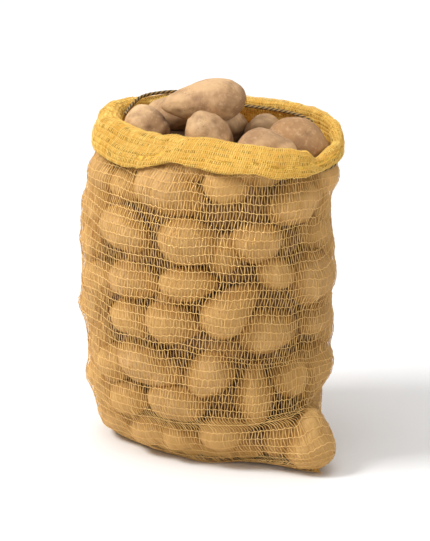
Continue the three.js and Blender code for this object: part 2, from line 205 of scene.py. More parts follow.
lamp("key", (-1.8, -1.5, 2.8), size=1.0, power=99)
lamp("fill", (2.2, -1.9, 1.6), size=1.6, power=2)
lamp("top", (0.2, -0.4, 3.0), size=1.8, power=28)
lamp("rim", (1.55, -0.82, 0.70), size=0.2, power=0.09, aim=(0.10, -0.05, 0.51), spread=16)
lamp("backdrop", (-1.0, 3.4, 2.6), size=3.0, power=60, aim=(-1.0, 3.4, 0))
print("studio ready")

# %% [markdown]
# ## Sizes of the sack
#
# The tables that drive the solids are repeated here. Only the base's corner follows the photograph more closely.
# A section gives the plain form at a height, and an azimuth goes round the axis from the front (0) to the right
# (90) and the back (180).

# %% Repeat the driving tables
MM = 0.001


def table(columns, rows):
    """Rows of values as dictionaries with named columns."""
    return [dict(zip(columns.split(), row)) for row in rows]


# Height, half width, half depth, and the shift of the axis in x and y.
SECTIONS = MM * np.array([
    (0, 128, 92, 6, -2), (20, 154, 110, 3, -2), (60, 166, 122, 2, -2), (130, 175, 132, 1, 0), (220, 183, 138, 0, 0),
    (330, 178, 134, 2, 0), (400, 170, 124, 10, 2), (440, 168, 109, 20, 7), (480, 168, 109, 20, 7),
])
BASE_OUTLINE = table("azimuth reach", [
    (-175, 92), (-140, 104), (-110, 124), (-72, 128), (-54, 102), (-32, 86), (-6, 84), (28, 97), (44, 98), (58, 110),
    (65, 132), (72, 198), (79, 150), (86, 136), (112, 124), (145, 102),
])
CUFF = table("azimuth crest drop fat", [
    (-175, 461, 46, 15), (-130, 461, 44, 18), (-112, 459, 45, 25), (-98, 460, 46, 31), (-88, 460, 46, 34),
    (-62, 455, 45, 34), (-42, 449, 45, 26), (-28, 450, 42, 20), (-6, 454, 32, 17), (12, 457, 39, 16),
    (44, 450, 36, 16), (62, 446, 38, 17), (70, 439, 34, 18), (80, 425, 17, 18), (92, 438, 22, 15),
    (108, 457, 40, 15), (130, 462, 46, 15),
])


def section(height):
    """Half width, half depth and the axis's x and y at a height."""
    return [np.interp(height, SECTIONS[:, 0], SECTIONS[:, i]) for i in range(1, 5)]


def plain_radius(height, azimuth):
    """Distance from the axis to the plain form."""
    half_width, half_depth, _, _ = section(height)
    return 1 / np.hypot(np.sin(azimuth) / half_width, np.cos(azimuth) / half_depth)


def on_form(height, azimuth, reach):
    """Points at a height and an azimuth, a reach away from the axis."""
    _, _, x, y = section(height)
    rows = np.broadcast_arrays(x + reach * np.sin(azimuth), y - reach * np.cos(azimuth), height)
    return np.stack(rows, axis=-1)


def around(rows, azimuth, key):
    """A size at an azimuth, eased between the rows of a table that goes once round."""
    stops = np.array([row["azimuth"] for row in rows] + [rows[0]["azimuth"] + 360.0])
    sizes = MM * np.array([row[key] for row in rows] + [rows[0][key]])
    turned = (np.degrees(azimuth) - stops[0]) % 360 + stops[0]
    low = np.clip(np.searchsorted(stops, turned, side="right") - 1, 0, len(rows) - 1)
    share = (turned - stops[low]) / (stops[low + 1] - stops[low])
    return sizes[low] + (sizes[low + 1] - sizes[low]) * share * share * (3 - 2 * share)


print("rim is", round(1000 * float(around(CUFF, 0.0, "crest"))), "mm high at the front")

# %% [markdown]
# ## Potato forms
#
# No two potatoes are alike. Each could be sculpted by hand, but a few forms, rolled and stretched, already give a
# heap that never seems to repeat. A form starts as a ball of even triangles. Proportional editing makes one end
# slimmer, bends it and presses in the eyes, and a Displace modifier adds the slow lumps.

# %% Write the modelling tools
FORMS = table("slim bend side lump seed", [
    (0.80, 0.10, 0.05, 0.26, 1), (0.66, -0.08, 0.10, 0.22, 2), (0.92, 0.20, -0.08, 0.30, 3),
    (0.74, 0.02, -0.14, 0.34, 4), (0.98, -0.12, 0.12, 0.28, 5), (0.70, 0.16, 0.00, 0.24, 6),
    (0.56, -0.04, 0.00, 0.20, 7),
])
EYES, EYE_DEPTH, EYE_REACH, EYE_STAIN = 9, 0.045, 0.26, 0.1
EYE_TURN, EYE_SPAN, EYE_CROWD = 2.4, 1.9, 1.35
LUMP_SIZE, LUMP_APART = 0.95, 3.7
SMOOTH = {"use_proportional_edit": True, "proportional_edit_falloff": "SMOOTH"}


def points_of(mesh):
    """A mesh's points as an array."""
    flat = np.empty(len(mesh.vertices) * 3)
    mesh.vertices.foreach_get("co", flat)
    return flat.reshape(-1, 3)


def choose(piece, kind, test):
    """Selects the points or faces that pass a test, in edit mode."""
    mesh = bmesh.from_edit_mesh(piece.data)
    for part in getattr(mesh, kind):
        part.select_set(test(part))
    mesh.select_flush(False)
    bmesh.update_edit_mesh(piece.data)


def pick(piece, near, within):
    """Selects the points close to a place."""
    choose(piece, "verts", lambda point: (point.co - Vector(near)).length < within)


def bend_ends(form, row):
    """Makes one end slimmer, and moves both ends to a side and up."""
    bpy.ops.object.mode_set(mode="EDIT")
    bpy.ops.mesh.select_mode(type="VERT")
    pick(form, (1, 0, 0), 0.7)
    bpy.ops.transform.resize(value=(1, row["slim"], row["slim"]), proportional_size=1.5, **SMOOTH)
    bpy.ops.transform.translate(value=(0, row["side"], row["bend"]), proportional_size=1.3, **SMOOTH)
    pick(form, (-1, 0, 0), 0.6)
    bpy.ops.transform.translate(value=(0, -row["side"], row["bend"]), proportional_size=1.1, **SMOOTH)
    bpy.ops.object.mode_set(mode="OBJECT")


def unit(vectors):
    """Vectors of length 1."""
    return vectors / np.maximum(np.linalg.norm(vectors, axis=-1, keepdims=True), 1e-12)


def press_eyes(form, seed):
    """Presses in eyes on a spiral that gets closer towards one end. Returns their points."""
    i = np.arange(EYES)
    along = 1 - EYE_SPAN * ((i + 0.5) / EYES) ** EYE_CROWD
    turn = EYE_TURN * i + seed
    reach = np.sqrt(1 - along**2)
    dips = []
    for place in np.stack([along, reach * np.cos(turn), reach * np.sin(turn)], axis=1):
        points = points_of(form.data)
        dips.append(int(np.argmax(unit(points) @ place)))
        bpy.ops.object.mode_set(mode="EDIT")
        pick(form, points[dips[-1]], 0.001)
        bpy.ops.transform.translate(value=tuple(-EYE_DEPTH * place), proportional_size=EYE_REACH, **SMOOTH)
        bpy.ops.object.mode_set(mode="OBJECT")
    return dips


def add_lumps(form, row):
    """Adds lumps. Each form is first moved to its own part of the clouds."""
    bpy.ops.object.mode_set(mode="EDIT")
    bpy.ops.mesh.select_all(action="SELECT")
    bpy.ops.transform.translate(value=(LUMP_APART * row["seed"], 0, 0))
    bpy.ops.object.mode_set(mode="OBJECT")
    clouds = bpy.data.textures.new("potato_lumps", "CLOUDS")
    clouds.noise_scale = LUMP_SIZE
    lumps = form.modifiers.new("lumps", "DISPLACE")
    lumps.texture, lumps.texture_coords, lumps.strength = clouds, "LOCAL", row["lump"]
    bpy.ops.object.modifier_apply(modifier=lumps.name)


print("modelling tools ready")

# %% [markdown]
# Forms are kept as arrays: fine ones for bare potatoes, plain ones at the net, and rough ones behind those.


# %% Model the forms
def model_form(row, detail):
    """One form: its points, its triangles, and how far each point is in an eye."""
    bpy.ops.object.select_all(action="DESELECT")
    bpy.ops.mesh.primitive_ico_sphere_add(subdivisions=detail, radius=1)
    form = bpy.context.object
    bend_ends(form, row)
    dips = press_eyes(form, row["seed"])
    add_lumps(form, row)
    points = points_of(form.data)
    faces = np.array([face.vertices for face in form.data.polygons])
    points -= (points.min(axis=0) + points.max(axis=0)) / 2
    gaps = np.linalg.norm(points[:, None] - points[None, dips], axis=2).min(axis=1)
    bpy.data.objects.remove(form)
    return points, faces, np.exp(-((gaps / EYE_STAIN) ** 2))


fine_forms, plain_forms, rough_forms = [[model_form(row, detail) for row in FORMS] for detail in (5, 4, 3)]
print(len(FORMS), "forms with up to", len(fine_forms[0][1]), "triangles")

# %% [markdown]
# ## Where each potato lies
#
# A simulation could drop potatoes into the sack, but then none would lie as in the photograph, so each has a row.
# One behind the net is given by the azimuth and height at which it presses outwards, and by how far it stands out
# of the plain form. One in the mouth is given by its middle. A few are set closer to the photograph than their
# solids.

# %% Repeat the places of the potatoes
WALL = "azimuth height length width tilt out"
FREE = "x y z length width yaw pitch"
FRONT_POTATOES = table(WALL, [
    (-66, 382, 86, 64, 0, 2), (-42, 375, 68, 48, 0, -8), (-6, 380, 106, 76, -10, 2), (33, 391, 64, 56, 10, -1),
    (76, 366, 98, 62, 0, 0), (95, 395, 70, 52, 0, 5), (-70, 330, 86, 56, -4, -3), (-36, 318, 104, 62, -6, 1),
    (15, 315, 98, 70, -4, 2), (53, 318, 72, 56, 10, 1), (92, 316, 70, 52, 12, -6), (-64, 284, 70, 50, 0, -1),
    (-82, 262, 80, 56, 0, -2), (-25, 251, 86, 62, -4, 1), (13, 259, 82, 52, 0, 1), (62, 277, 58, 48, -10, 3),
    (86, 262, 92, 80, 20, 8), (-54, 236, 80, 60, 6, 1), (-27, 200, 68, 56, 0, 0), (3, 201, 82, 64, -8, 1),
    (39, 229, 96, 64, 42, 4), (60, 196, 86, 70, 20, 1), (90, 202, 72, 54, 0, -2), (-72, 188, 94, 72, 6, -1),
    (-17, 137, 108, 60, -10, 1), (27, 135, 76, 66, 75, 2), (74, 128, 66, 60, 60, -1), (94, 138, 82, 66, 30, 6),
    (-48, 124, 80, 62, 40, 0), (-38, 76, 80, 56, 0, 0), (4, 91, 88, 60, 0, 1), (53, 106, 94, 54, 84, 3),
    (-72, 90, 88, 64, 20, 1), (-22, 37, 66, 48, 0, -3), (6, 37, 62, 46, 0, -2), (39, 50, 84, 60, 10, 0),
    (60, 32, 62, 46, 0, -6), (-66, 38, 92, 60, 0, -2), (90, 110, 70, 54, 0, -5), (35, 298, 62, 44, 64, -8),
    (71, 44, 76, 58, 0, 20), (75, 42, 84, 70, 82, 58), (106, 172, 84, 58, 70, -3), (108, 292, 84, 58, 70, -4),
    (-76, 306, 84, 56, 70, -4),
])
UNDER_TOP = table(FREE, [
    (-70, 20, 398, 100, 70, 30, 0), (0, -50, 388, 104, 76, 10, 0), (10, 45, 400, 100, 74, -20, 0),
    (80, -30, 390, 100, 72, 60, 0), (90, 40, 392, 96, 70, -30, 0), (-60, -45, 384, 96, 70, -40, 0),
])
# Tones of potato_left, potato_right and potato_top are partly painted light and shade, for how the lamps fall.
TOP_POTATOES = table(f"name {FREE} form roll tone", [
    ("potato_left", -74, -27, 444, 67, 58, -12, 0, 0, 3.5, 1.1),
    ("potato_front", 31, -54, 440, 86, 70, 205, 58, 4, 1.4, 0.6),
    ("potato_right", 132, 13, 434, 88, 66, 24, -26, 0, 2.0, -1.1),
    ("potato_front_right", 109, -47, 435, 82, 62, 12, 0, 2, 3.0, 0.0),
    ("potato_middle", 10, 26, 437, 80, 60, 62, 0, 3, 0.0, 0.5),
    ("potato_back_right", 62, 50, 431, 54, 52, 20, 0, 4, 1.0, 0.4),
    ("potato_back_left", -64, 38, 440, 78, 56, 20, 0, 5, 0.6, 0.5),
    ("potato_top", 1, -12, 480, 116, 64, 192, -8, 6, 0.3, 0.35),
])
print(len(FRONT_POTATOES), "potatoes at the front and", len(TOP_POTATOES), "bare in the mouth")

# %% [markdown]
# The back and the hidden middle are filled course by course, because a dark gap between two potatoes shows the
# next one. Long potatoes stand behind the net where it is seen edge on, so that no light comes through there.

# %% Fill up the heap
BACK_FROM, BACK_TO, BACK_COURSES, BACK_EACH, BACK_LOWEST, BACK_RISE = 112, 268, 6, 5, 46, 66
EDGES = (-86, -78, -70, -62, 100, 108, 116, 124)


def back_rows():
    """Rows for the back, each course half a step along from the one below."""
    rows = []
    step = (BACK_TO - BACK_FROM) / BACK_EACH
    for course, i in np.ndindex(BACK_COURSES, BACK_EACH):
        wander, sway = math.sin(7.3 * course + 4.1 * i), math.sin(3.7 * course + 5.9 * i + 1)
        azimuth = BACK_FROM + step * (i + 0.25 + 0.5 * (course % 2)) + 4 * sway
        height = BACK_LOWEST + BACK_RISE * course + 9 * wander
        rows.append((azimuth, height, 108 + 12 * sway, 72 + 8 * wander, 24 * sway, 2 * wander))
    return table(WALL, rows)


def middle_rows():
    """Rows for the hidden middle: five round one in each course."""
    rows = []
    for course, i in np.ndindex(6, 6):
        turn = 2 * math.pi * i / 5 + 0.6 * course
        reach = 0 if i == 5 else 72
        x, y = 1.3 * reach * math.sin(turn), reach * math.cos(turn)
        rows.append((x, y, 56 + 60 * course, 104, 78, 73 * i, 20))
    return table(FREE, rows)


def side_rows():
    """Rows that close the strips at both edges, along the floor and under the rim."""
    rows = [(at, 75 + 65 * j + 16 * (i % 2), 150, 52, 88, -9) for i, at in enumerate(EDGES) for j in range(5)]
    rows += [(15 * i, 26, 76, 46, 0, -17) for i in range(24)]
    rows += [(-54 + 16 * i, 411, 66, 46, 0, -12) for i in range(8)]
    rows += [(100 + 16 * i, 402, 74, 46, 0, -14) for i in range(10)]
    return table(WALL, rows)


def second_rows():
    """Rows for a second layer, seen dimly in the gaps."""
    places = [(20 * i + 10 * (j % 2), 54 + 42 * j) for i in range(18) for j in range(8)]
    return table(WALL, [(*place, 84, 60, 40 * math.sin(sum(place)), -34) for place in places])


wall_seen, wall_dim = FRONT_POTATOES + back_rows(), side_rows() + second_rows()
print(len(wall_seen), "potatoes press on the net and", len(wall_dim), "stand behind them")

# %% [markdown]
# A place is a matrix whose columns are the potato's half length, half width and half thickness. A potato at the
# net is a little thicker and slimmer than its solid.

# %% Work out the places
POTATO_FLAT = 0.92
NET_SIDE_GROWTH = 2.5 * MM
NET_SIDE_SLIM = 0.98


def place_of(centre, along, across, outward, row, slim=1.0, grow=0.0):
    """The matrix that takes a form to its place in metres."""
    half = MM * np.array([slim * row["length"], slim * row["width"], POTATO_FLAT * row["width"]]) / 2
    half[2] += grow
    place = np.eye(4)
    place[:3, :3] = np.stack([along, across, outward], axis=1) * half
    place[:3, 3] = centre
    return place


def wall_place(row):
    """The place of a potato that presses on the net."""
    turn, lean = math.radians(row["azimuth"]), math.radians(row["tilt"])
    height = MM * row["height"]
    half_width, half_depth, _, _ = section(height)
    outward = unit(np.array([math.sin(turn) / half_width, -math.cos(turn) / half_depth, 0]))
    side, rise = np.array([-outward[1], outward[0], 0]), np.array([0, 0, 1.0])
    along = side * math.cos(lean) + rise * math.sin(lean)
    across = rise * math.cos(lean) - side * math.sin(lean)
    centre = on_form(height, turn, plain_radius(height, turn))
    centre = centre + outward * MM * (row["out"] - POTATO_FLAT * row["width"] / 2)
    return place_of(centre, along, across, outward, row, NET_SIDE_SLIM, NET_SIDE_GROWTH)


def free_place(row):
    """The place of a potato in the heap or in the open mouth."""
    yaw, pitch = math.radians(row["yaw"]), math.radians(row["pitch"])
    flat = math.cos(pitch)
    along = np.array([flat * math.cos(yaw), flat * math.sin(yaw), math.sin(pitch)])
    across = unit(np.array([-along[1], along[0], 0]))
    centre = MM * np.array([row["x"], row["y"], row["z"]])
    return place_of(centre, along, across, np.cross(along, across), row)


seen_places = [wall_place(row) for row in wall_seen] + [free_place(row) for row in UNDER_TOP]
dim_places = [wall_place(row) for row in wall_dim] + [free_place(row) for row in middle_rows()]
print(len(seen_places) + len(dim_places), "places in the net")

# %% [markdown]
# ## Lay out the potatoes
#
# Each copy rolls its form about its long axis, so the same form shows another side, and stretches it into a box of
# side 2, so that it fills the space of its solid. The potatoes behind the net become one piece. Bare ones stay
# pieces of their own, and points that would sink into another potato are moved back out to its surface.

# %% Copy the forms to their places
TOUCH_GAP, TOUCH_SEARCH = 0.5 * MM, 40 * MM
FLOOR_GAP = 2.5 * MM


def placed(form, place, roll):
    """Points of a form that is rolled, filled out to its box and taken to its place."""
    points = form[0].copy()
    c, s = math.cos(roll), math.sin(roll)
    points[:, 1:] = points[:, 1:] @ np.array([[c, s], [-s, c]])
    low, high = points.min(axis=0), points.max(axis=0)
    points = (points - (low + high) / 2) * 2 / (high - low)
    points = points @ place[:3, :3].T + place[:3, 3]
    points[:, 2] += max(0, FLOOR_GAP - points[:, 2].min())
    return points


def joined(parts):
    """Several (points, faces, ...) as one, with the faces counted on."""
    starts = np.cumsum([0] + [len(part[0]) for part in parts[:-1]])
    faces = np.concatenate([part[1] + start for part, start in zip(parts, starts)])
    rest = [np.concatenate([part[i] for part in parts]) for i in range(2, len(parts[0]))]
    return (np.concatenate([part[0] for part in parts]), faces, *rest)


def tree_of(points, faces):
    """A search tree of triangles, for nearest places and rays."""
    return BVHTree.FromPolygons(points.tolist(), faces.tolist())


def boxes_meet(a, b):
    """Whether the boxes of two sets of points overlap."""
    return (a.min(axis=0) < b.max(axis=0)).all() and (a.max(axis=0) > b.min(axis=0)).all()


def kept_out(points, trees):
    """Moves points that lie in other potatoes just outside them."""
    points = points.copy()
    for tree in trees:
        for i, point in enumerate(points):
            place, normal, _, _ = tree.find_nearest(Vector(point), TOUCH_SEARCH)
            if place is not None and (Vector(point) - place).dot(normal) < TOUCH_GAP:
                points[i] = place + TOUCH_GAP * normal
    return points


rng = np.random.default_rng(11)
heap_parts = []
for i, place in enumerate(seen_places + dim_places):
    form = (plain_forms if i < len(seen_places) else rough_forms)[i % len(FORMS)]
    points = placed(form, place, rng.uniform(0, 2 * math.pi))
    tone = np.full(len(points), rng.uniform(0, 1))
    heap_parts.append((points, form[1], form[2], tone))
top_parts = []
for row in TOP_POTATOES:
    form = fine_forms[row["form"]]
    points = placed(form, free_place(row), row["roll"])
    near = [part for part in heap_parts + top_parts if boxes_meet(part[0], points)]
    points = kept_out(points, [tree_of(part[0], part[1]) for part in near])
    top_parts.append((points, form[1], form[2], np.full(len(points), row["tone"])))
print("heap has", sum(len(part[1]) for part in heap_parts), "triangles")

# %% [markdown]
# ## Potato skin
#
# A washed potato is tan, with slow patches, a fine netting of russet, small dark specks and darker eyes. The
# pattern lies on the object's coordinates, so it needs no unwrapping, and each potato carries a tone, partly painted
# light and shade on a few bare ones. Behind the net the skin has painted light, the net's golden light, and painted
# shade that darkens it in three steps with its depth behind the net in metres, where less and less light gets in.

# %% Finish the skin
skin, skin_shader, start, spot = finish_of("potato_skin", Specular_IOR_Level=0.3)
tone, eyes, gold, deep = [attribute(start, name) for name in ("tone", "eye", "gold", "deep")]
patches = spot.noise(26, 4, 0.6)
russet = spot.noise(190, 3, 0.6).over(0.5, 0.72)
specks = spot.node("ShaderNodeTexVoronoi", None, {"Vector": spot, "Scale": 210.0}, out=0)
freckles = (1 - specks.over(0.1, 0.26)) * spot.noise(70, 1).over(0.42, 0.6)
colour = tone.blend((0.535, 0.328, 0.16), (0.665, 0.433, 0.225))
for mask, shade in [
    (patches.over(0.36, 0.64) * 0.9, (0.31, 0.168, 0.078)),
    (russet * 0.4, (0.66, 0.45, 0.25)),
    (freckles * 0.7, (0.25, 0.135, 0.07)),
    (eyes * 0.5, (0.2, 0.11, 0.06)),
    # Painted light: the golden light of the yellow net, laid on skin behind it.
    (gold * (0.75 - tone * 0.3), (0.80, 0.485, 0.155)),
    # Painted shade: three darker steps with the depth behind the net.
    (deep.over(0.0, 0.011) * 0.85, (0.455, 0.23, 0.056)),
    (deep.over(0.010, 0.032) * 0.86, (0.225, 0.11, 0.05)),
    (deep.over(0.040, 0.070) * 0.80, (0.05, 0.028, 0.018)),
]:
    colour = mask.blend(colour, shade)
relief = patches * 0.5 + russet * 0.35 - freckles * 0.3 - eyes * 0.4
feed(skin_shader, Base_Color=colour, Roughness=0.62 + patches * 0.2, Normal=relief.bump(0.35, 0.0012))


def new_piece(name, points, faces, finish, smooth=True, **values):
    """A mesh object from arrays, with values that its points carry."""
    mesh = bpy.data.meshes.new(name)
    mesh.from_pydata(points.tolist(), [], faces.tolist())
    if smooth:
        mesh.shade_smooth()
    for key, value in values.items():
        mesh.attributes.new(key, "FLOAT", "POINT").data.foreach_set("value", value.astype(np.float32))
    piece = bpy.data.objects.new(name, mesh)
    piece.data.materials.append(finish)
    bpy.context.scene.collection.objects.link(piece)
    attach(piece, "root")
    return piece


def stand_in(node):
    """Hides a solid, so that the piece made for it shows in its place."""
    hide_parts(node)


points, faces, dips, tones = joined(heap_parts)
# Potatoes behind the net carry the net's painted golden light; bare ones carry none.
heap = new_piece("potatoes_behind_net", points, faces, skin, eye=dips, tone=tones, gold=1 + 0 * tones)
stand_in("potatoes_inside")
for row, (points, faces, dips, tones) in zip(TOP_POTATOES, top_parts):
    potato = new_piece(row["name"] + "_skin", points, faces, skin, eye=dips, tone=tones, gold=0 * tones)
    stand_in(row["name"])
print("skin on", len(TOP_POTATOES) + 1, "pieces")

# %% [markdown]
# ## The net pulled tight
#
# The net touches the potatoes that push it out and spans straight from one to the next. Blender's cloth could
# find that shape, but a film on a plain grid finds it too, and stays easy to lay threads on. Rays from outside
# measure how far the potatoes hold the net out, and each point then settles to the mean of its neighbours unless
# a potato is in its way.

# %% Measure what holds the net
ROW_EASE = 1.12
SLACK = 26 * MM
NET_GAP = 2.0 * MM
RAY_FROM = 0.36

potato_tree = tree_of(*joined([part[:2] for part in heap_parts + top_parts]))


def wall_grid(columns, rows):
    """Azimuths of the columns, and the heights of the rows, up to where the rim bends."""
    azimuth = np.arange(columns) * 2 * math.pi / columns
    top = around(CUFF, azimuth, "crest") - around(CUFF, azimuth, "fat") / 2
    return azimuth, top * ((np.arange(rows + 1) / rows) ** ROW_EASE)[:, None]


def held_out(azimuth, height):
    """The radius at which the potatoes hold the net."""
    middle, outer = on_form(height, azimuth, 0), on_form(height, azimuth, RAY_FROM)
    held = plain_radius(height, azimuth) - SLACK
    for index in np.ndindex(*height.shape):
        way = Vector(middle[index] - outer[index]).normalized()
        _, _, _, far = potato_tree.ray_cast(Vector(outer[index]), way, RAY_FROM)
        if far is not None:
            held[index] = max(held[index], RAY_FROM - far + NET_GAP)
    return held


print("rays start", round(1000 * RAY_FROM), "mm from the axis")

# %% [markdown]
# Coarse grids settle first, because a fine grid alone would need thousands of rounds. Two creases then draw the
# net in where the photograph shows it pinched, as far as the potatoes let them.

# %% Settle the net
START_IN, HALF_SHEET = 9 * MM, 1 * MM
GRIDS = [(72, 33, 220), (144, 66, 80), (288, 132, 30)]
NET_COLUMNS, NET_ROWS = GRIDS[-1][:2]
# Creases: azimuth, height, spread in degrees and in height, depth.
PINCHES = table("azimuth height turn rise depth", [(84, 78, 16, 13, 18), (70, 150, 40, 9, 3)])


def finer(coarse, columns, rows):
    """A settled grid read at more columns and rows."""
    old_rows, old_columns = coarse.shape
    row = np.linspace(0, old_rows - 1, rows + 1)
    low = np.minimum(row.astype(int), old_rows - 2)
    tall = coarse[low] + (coarse[low + 1] - coarse[low]) * (row - low)[:, None]
    column = np.arange(columns) * old_columns / columns
    low = column.astype(int)
    return tall[:, low] + (tall[:, (low + 1) % old_columns] - tall[:, low]) * (column - low)


def degrees_from(middle, azimuth):
    """How far azimuths lie from a middle one, from -180 to 180 degrees."""
    return (np.degrees(azimuth) - middle + 180) % 360 - 180


def pinched(radius, azimuth, height):
    """The net drawn in along its creases."""
    for row in PINCHES:
        off = degrees_from(row["azimuth"], azimuth)
        away = (height / MM - row["height"]) / row["rise"]
        radius = radius - MM * row["depth"] * np.exp(-((off / row["turn"]) ** 2) - away**2)
    return radius


def settle(columns, rows, passes, coarse=None):
    """One grid of the net's radius, settled over the potatoes."""
    azimuth, height = wall_grid(columns, rows)
    held = held_out(azimuth, height)
    held[0] = around(BASE_OUTLINE, azimuth, "reach") - HALF_SHEET
    rim_held = plain_radius(height[-1], azimuth) - around(CUFF, azimuth, "fat") - HALF_SHEET
    held[-1] = np.maximum(held[-1], rim_held)
    plain = plain_radius(height, azimuth) - START_IN
    radius = np.maximum(held, plain if coarse is None else finer(coarse, columns, rows))
    radius[0] = held[0]
    inward = (2 * math.pi / columns) ** 2 / 4
    for _ in range(passes):
        rim = radius[-1]
        mean = (np.roll(rim, 1) + np.roll(rim, -1)) / 2
        radius[-1] = np.maximum(held[-1], mean - 2 * inward * rim)
        inside = radius[1:-1]
        mean = (np.roll(inside, 1, axis=1) + np.roll(inside, -1, axis=1) + radius[:-2] + radius[2:]) / 4
        radius[1:-1] = np.maximum(held[1:-1], mean - inward * inside)
    radius[1:-1] = np.maximum(held, pinched(radius, azimuth, height))[1:-1]
    return radius


net_radius = None
for grid in GRIDS:
    net_radius = settle(*grid, net_radius)
net_azimuth, net_height = wall_grid(NET_COLUMNS, NET_ROWS)


def behind_net(points):
    """How far points lie behind the settled net."""
    _, _, x, y = section(points[:, 2])
    across, through = points[:, 0] - x, points[:, 1] - y
    column = np.round(np.arctan2(across, -through) / (2 * math.pi) * NET_COLUMNS).astype(int) % NET_COLUMNS
    share = np.clip(points[:, 2] / net_height[-1, column], 0, 1) ** (1 / ROW_EASE)
    return net_radius[np.round(share * NET_ROWS).astype(int), column] - np.hypot(across, through)


# How deep each point lies behind the net, which the skin turns into painted shade.
depth = np.maximum(0, behind_net(points_of(heap.data))).astype(np.float32)
heap.data.attributes.new("deep", "FLOAT", "POINT").data.foreach_set("value", depth)
print("net settled on", net_radius.shape, "points")

# %% [markdown]
# ## Rows of the net
#
# The knitted net has rows of chain stitches that run round the sack, and slim tapes that join one row to the
# next. Three things move a row away from its even height: it wanders a little, the creases draw rows together,
# and the filled corner lifts them.

# %% Write what moves a row
# How the filled corner draws rows up: azimuth, spread in degrees, lift, and where it ends.
CORNER_AT, CORNER_SPREAD, CORNER_LIFT, CORNER_TOP = 78, 26, 28 * MM, 190 * MM
# Creases: azimuth, half width in degrees, height there, its fall per degree, pull.
CREASES = table("azimuth spread height fall pull", [(58, 52, 152, 0.55, 9), (68, 26, 70, 0.3, 7)])
CREASE_REACH = 16 * MM


def ripple(turn, along, waves, most, steep, seed):
    """A smooth random field from about -1 to 1, by the turn round the sack and along its rows."""
    draw = np.random.default_rng(seed)
    total = 0.0
    for _ in range(waves):
        count, slope = draw.integers(1, most + 1), draw.uniform(-steep, steep)
        total = total + np.sin(count * turn + slope * along + draw.uniform(0, 2 * math.pi))
    return total / math.sqrt(2 * waves)


def bunched(height, azimuth):
    """How far the creases draw a row up or down."""
    shift = 0.0
    for row in CREASES:
        off = degrees_from(row["azimuth"], azimuth)
        reach = np.exp(-((off / row["spread"]) ** 2))
        away = (height - MM * (row["height"] - row["fall"] * off)) / CREASE_REACH
        shift = shift - MM * row["pull"] * reach * away * np.exp(-(away**2))
    return shift


def lifted(height, azimuth):
    """How far the filled corner draws a row up."""
    left = np.clip(1 - height / CORNER_TOP, 0, 1)
    near = np.exp(-((degrees_from(CORNER_AT, azimuth) / CORNER_SPREAD) ** 2))
    return CORNER_LIFT * near * left * left * (3 - 2 * left)


print(len(CREASES), "creases and one filled corner")

# %% [markdown]
# Cloth has even steps along itself, not in height or azimuth. Rows and tapes keep a mix of both, because the
# knitting gives way where the net bulges.

# %% Lay the rows on the settled net
TAPES, ROWS = 248, 38
ROWS_TO = 432 * MM
UP_STEPS = 4
BY_LENGTH = 0.25
WANDER, WANDER_EASE = 1.9 * MM, 6
LOWEST_TAPE = 1.4 * MM
BACK_COLUMN = NET_COLUMNS // 2


@np.vectorize
def net_reach(height, column):
    """The settled net's radius at a height in one of its columns."""
    column = column % NET_COLUMNS
    return np.interp(height, net_height[:, column], net_radius[:, column])


def wall_reach(height):
    """The settled net's radius at heights for every column."""
    return net_reach(height, np.arange(NET_COLUMNS))


def lengths(rows):
    """The length from the first row of points to each row."""
    steps = np.linalg.norm(np.diff(rows, axis=0), axis=-1)
    return np.concatenate([np.zeros((1, *steps.shape[1:])), np.cumsum(steps, axis=0)])


def wall_rows(half_rows):
    """Heights of every half row at each column of the settled net."""
    along = lengths(on_form(net_height, net_azimuth, net_radius))
    share = np.linspace(0, 1, half_rows)
    heights = np.empty((half_rows, NET_COLUMNS))
    for i in range(NET_COLUMNS):
        whole = np.interp(ROWS_TO, net_height[:, i], along[:, i])
        mixed = BY_LENGTH * along[:, i] / whole + (1 - BY_LENGTH) * net_height[:, i] / ROWS_TO
        heights[:, i] = np.interp(share, mixed, net_height[:, i])
    row = np.arange(half_rows)[:, None]
    free = np.minimum(1, np.minimum(row, half_rows - 1 - row) / WANDER_EASE)
    wander = WANDER * ripple(net_azimuth, row, 9, 14, 0.35, 3) + bunched(heights, net_azimuth)
    return heights + free * wander + lifted(heights, net_azimuth)


def read_line(want, along, points):
    """A line's points, read at lengths along it."""
    return np.stack([np.interp(want, along, axis) for axis in points.T], axis=-1)


def evenly(rows, count):
    """Closed rows read at even steps from the back, half by length and half by azimuth."""
    rows = np.roll(rows, -BACK_COLUMN, axis=1)
    closed = np.concatenate([rows, rows[:, :1]], axis=1)
    along = lengths(np.swapaxes(closed, 0, 1)).T
    share = along / along[:, -1:]
    share = (share + share.mean(axis=0)) / 2
    return np.stack([read_line(np.arange(count) / count, *row) for row in zip(share, closed)])


heights = wall_rows(2 * ROWS + 1)
heights = np.concatenate([np.linspace(0, 1, UP_STEPS, endpoint=False)[:, None] * heights[0], heights])
cloth = evenly(on_form(heights, net_azimuth, wall_reach(heights)), 2 * TAPES)
cloth[..., 2] = np.maximum(cloth[..., 2], LOWEST_TAPE)
foot, wall_cloth = cloth[: UP_STEPS + 1], cloth[UP_STEPS:]
print(ROWS, "rows of", TAPES, "tapes")

# %% [markdown]
# ## Knitting
#
# A picture of a net on a plain sheet would look flat at the outline and in the gaps, so the threads are real:
# slim flat tubes with four sides. All tubes of a layer are worked out together as arrays and joined into one mesh.


# %% Write the thread tools
def facing(cloth):
    """The outward normal at each point of a table of rows."""
    sideways = np.roll(cloth, -1, axis=1) - np.roll(cloth, 1, axis=1)
    return unit(np.cross(sideways, np.gradient(cloth, axis=0)))


def read(table_rows, rows, places):
    """Points of a table of rows at fractional places round the sack."""
    low = np.floor(places).astype(int)
    share = (places - low)[..., None]
    count = table_rows.shape[1]
    return table_rows[rows, low % count] * (1 - share) + table_rows[rows, (low + 1) % count] * share


